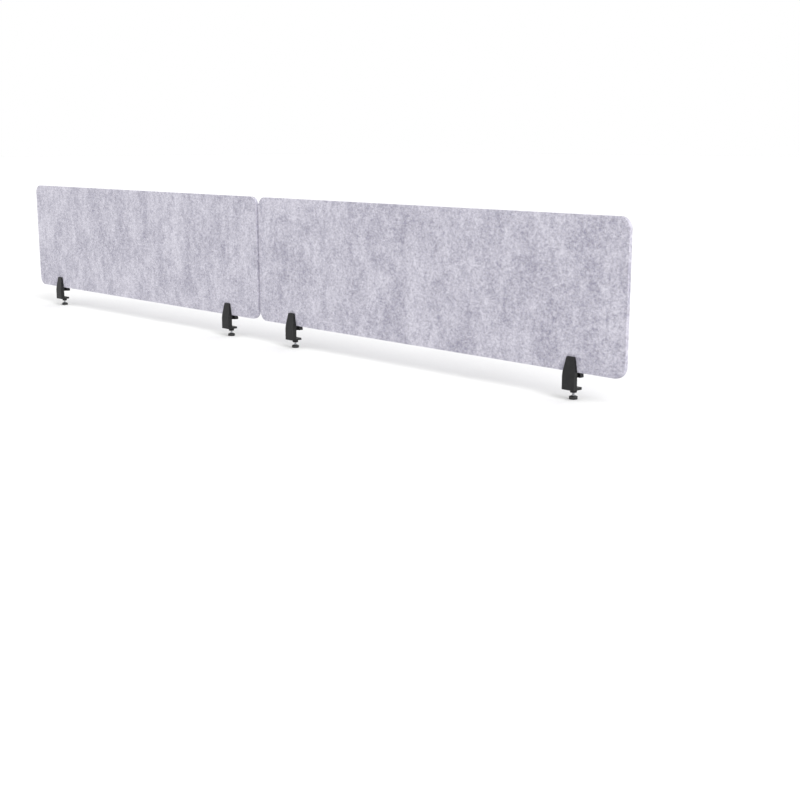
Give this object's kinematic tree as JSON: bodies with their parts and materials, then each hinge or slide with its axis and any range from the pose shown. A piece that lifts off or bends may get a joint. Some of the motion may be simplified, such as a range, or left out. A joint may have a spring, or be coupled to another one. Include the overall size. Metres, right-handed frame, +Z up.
{
  "type": "desk privacy panel",
  "caption": "Rounded felt screen boards in line, standing in black screw clamps that grip a worktop's back edge; jaws slide to hold the board, thumb screws press the worktop from below.",
  "frame": {"origin": "on the worktop's upper back edge, at the middle of the run", "axes": "+X along the worktop's edge, +Y over the worktop towards its user, +Z up"},
  "size_m": [2.988, 0.0412, 0.4778],
  "materials": {
    "felt": "pressed polyester felt, pale lilac grey with darker mottling",
    "clamp_paint": "fine black powder coat on a zinc casting",
    "rubber": "matt black rubber",
    "black_steel": "black oxide",
    "zinc_steel": "bright zinc plate",
    "brass": "turned and knurled",
    "knob_plastic": "moulded black nylon"
  },
  "bodies": {
    "frame": {"left_board": "felt", "right_board": "felt", "left_end_clamp_body": "clamp_paint", "left_end_rear_grip_pad": "rubber", "left_end_worktop_pad": "rubber", "left_end_jaw_screw_insert": "brass", "left_end_guide_pins": "zinc_steel", "left_end_clamp_screw_insert": "brass", "left_mid_clamp_body": "clamp_paint", "left_mid_rear_grip_pad": "rubber", "left_mid_worktop_pad": "rubber", "left_mid_jaw_screw_insert": "brass", "left_mid_guide_pins": "zinc_steel", "left_mid_clamp_screw_insert": "brass", "right_mid_clamp_body": "clamp_paint", "right_mid_rear_grip_pad": "rubber", "right_mid_worktop_pad": "rubber", "right_mid_jaw_screw_insert": "brass", "right_mid_guide_pins": "zinc_steel", "right_mid_clamp_screw_insert": "brass", "right_end_clamp_body": "clamp_paint", "right_end_rear_grip_pad": "rubber", "right_end_worktop_pad": "rubber", "right_end_jaw_screw_insert": "brass", "right_end_guide_pins": "zinc_steel", "right_end_clamp_screw_insert": "brass"},
    "left_end_jaw": {"left_end_front_jaw": "clamp_paint", "left_end_front_grip_pad": "rubber"},
    "left_end_jaw_bolt": {"left_end_jaw_screw": "black_steel"},
    "left_end_pad": {"left_end_pressure_pad": "zinc_steel", "left_end_pressure_pad_rubber": "rubber"},
    "left_end_thumb_screw": {"left_end_clamp_screw": "zinc_steel", "left_end_thumb_knob": "knob_plastic"},
    "left_mid_jaw": {"left_mid_front_jaw": "clamp_paint", "left_mid_front_grip_pad": "rubber"},
    "left_mid_jaw_bolt": {"left_mid_jaw_screw": "black_steel"},
    "left_mid_pad": {"left_mid_pressure_pad": "zinc_steel", "left_mid_pressure_pad_rubber": "rubber"},
    "left_mid_thumb_screw": {"left_mid_clamp_screw": "zinc_steel", "left_mid_thumb_knob": "knob_plastic"},
    "right_mid_jaw": {"right_mid_front_jaw": "clamp_paint", "right_mid_front_grip_pad": "rubber"},
    "right_mid_jaw_bolt": {"right_mid_jaw_screw": "black_steel"},
    "right_mid_pad": {"right_mid_pressure_pad": "zinc_steel", "right_mid_pressure_pad_rubber": "rubber"},
    "right_mid_thumb_screw": {"right_mid_clamp_screw": "zinc_steel", "right_mid_thumb_knob": "knob_plastic"},
    "right_end_jaw": {"right_end_front_jaw": "clamp_paint", "right_end_front_grip_pad": "rubber"},
    "right_end_jaw_bolt": {"right_end_jaw_screw": "black_steel"},
    "right_end_pad": {"right_end_pressure_pad": "zinc_steel", "right_end_pressure_pad_rubber": "rubber"},
    "right_end_thumb_screw": {"right_end_clamp_screw": "zinc_steel", "right_end_thumb_knob": "knob_plastic"}
  },
  "joints": [
    {"name": "left_end_jaw_slide", "type": "slide", "parent": "frame", "child": "left_end_jaw", "axis": [0, 1, 0], "range_m": [0, 0.005]},
    {"name": "left_end_jaw_bolt_turn", "type": "hinge", "parent": "left_end_jaw", "child": "left_end_jaw_bolt", "pos_m": [-1.325, 0.0192, 0.0085], "axis": [0, 1, 0], "range_deg": [0, 1800]},
    {"name": "left_end_pad_slide", "type": "slide", "parent": "frame", "child": "left_end_pad", "axis": [0, 0, 1], "range_m": [0, 0.007]},
    {"name": "left_end_thumb_screw_turn", "type": "hinge", "parent": "left_end_pad", "child": "left_end_thumb_screw", "pos_m": [-1.325, 0.011, -0.0478], "axis": [0, 0, 1], "range_deg": [0, 2016]},
    {"name": "left_mid_jaw_slide", "type": "slide", "parent": "frame", "child": "left_mid_jaw", "axis": [0, 1, 0], "range_m": [0, 0.005]},
    {"name": "left_mid_jaw_bolt_turn", "type": "hinge", "parent": "left_mid_jaw", "child": "left_mid_jaw_bolt", "pos_m": [-0.175, 0.0192, 0.0085], "axis": [0, 1, 0], "range_deg": [0, 1800]},
    {"name": "left_mid_pad_slide", "type": "slide", "parent": "frame", "child": "left_mid_pad", "axis": [0, 0, 1], "range_m": [0, 0.007]},
    {"name": "left_mid_thumb_screw_turn", "type": "hinge", "parent": "left_mid_pad", "child": "left_mid_thumb_screw", "pos_m": [-0.175, 0.011, -0.0478], "axis": [0, 0, 1], "range_deg": [0, 2016]},
    {"name": "right_mid_jaw_slide", "type": "slide", "parent": "frame", "child": "right_mid_jaw", "axis": [0, 1, 0], "range_m": [0, 0.005]},
    {"name": "right_mid_jaw_bolt_turn", "type": "hinge", "parent": "right_mid_jaw", "child": "right_mid_jaw_bolt", "pos_m": [0.175, 0.0192, 0.0085], "axis": [0, 1, 0], "range_deg": [0, 1800]},
    {"name": "right_mid_pad_slide", "type": "slide", "parent": "frame", "child": "right_mid_pad", "axis": [0, 0, 1], "range_m": [0, 0.007]},
    {"name": "right_mid_thumb_screw_turn", "type": "hinge", "parent": "right_mid_pad", "child": "right_mid_thumb_screw", "pos_m": [0.175, 0.011, -0.0478], "axis": [0, 0, 1], "range_deg": [0, 2016]},
    {"name": "right_end_jaw_slide", "type": "slide", "parent": "frame", "child": "right_end_jaw", "axis": [0, 1, 0], "range_m": [0, 0.005]},
    {"name": "right_end_jaw_bolt_turn", "type": "hinge", "parent": "right_end_jaw", "child": "right_end_jaw_bolt", "pos_m": [1.325, 0.0192, 0.0085], "axis": [0, 1, 0], "range_deg": [0, 1800]},
    {"name": "right_end_pad_slide", "type": "slide", "parent": "frame", "child": "right_end_pad", "axis": [0, 0, 1], "range_m": [0, 0.007]},
    {"name": "right_end_thumb_screw_turn", "type": "hinge", "parent": "right_end_pad", "child": "right_end_thumb_screw", "pos_m": [1.325, 0.011, -0.0478], "axis": [0, 0, 1], "range_deg": [0, 2016]}
  ],
  "couplings": [
    {"joint": "left_end_jaw_slide", "follows": "left_end_jaw_bolt_turn", "m_per_rad": 0.00015915},
    {"joint": "left_end_pad_slide", "follows": "left_end_thumb_screw_turn", "m_per_rad": 0.00019894},
    {"joint": "left_mid_jaw_slide", "follows": "left_mid_jaw_bolt_turn", "m_per_rad": 0.00015915},
    {"joint": "left_mid_pad_slide", "follows": "left_mid_thumb_screw_turn", "m_per_rad": 0.00019894},
    {"joint": "right_mid_jaw_slide", "follows": "right_mid_jaw_bolt_turn", "m_per_rad": 0.00015915},
    {"joint": "right_mid_pad_slide", "follows": "right_mid_thumb_screw_turn", "m_per_rad": 0.00019894},
    {"joint": "right_end_jaw_slide", "follows": "right_end_jaw_bolt_turn", "m_per_rad": 0.00015915},
    {"joint": "right_end_pad_slide", "follows": "right_end_thumb_screw_turn", "m_per_rad": 0.00019894}
  ]
}
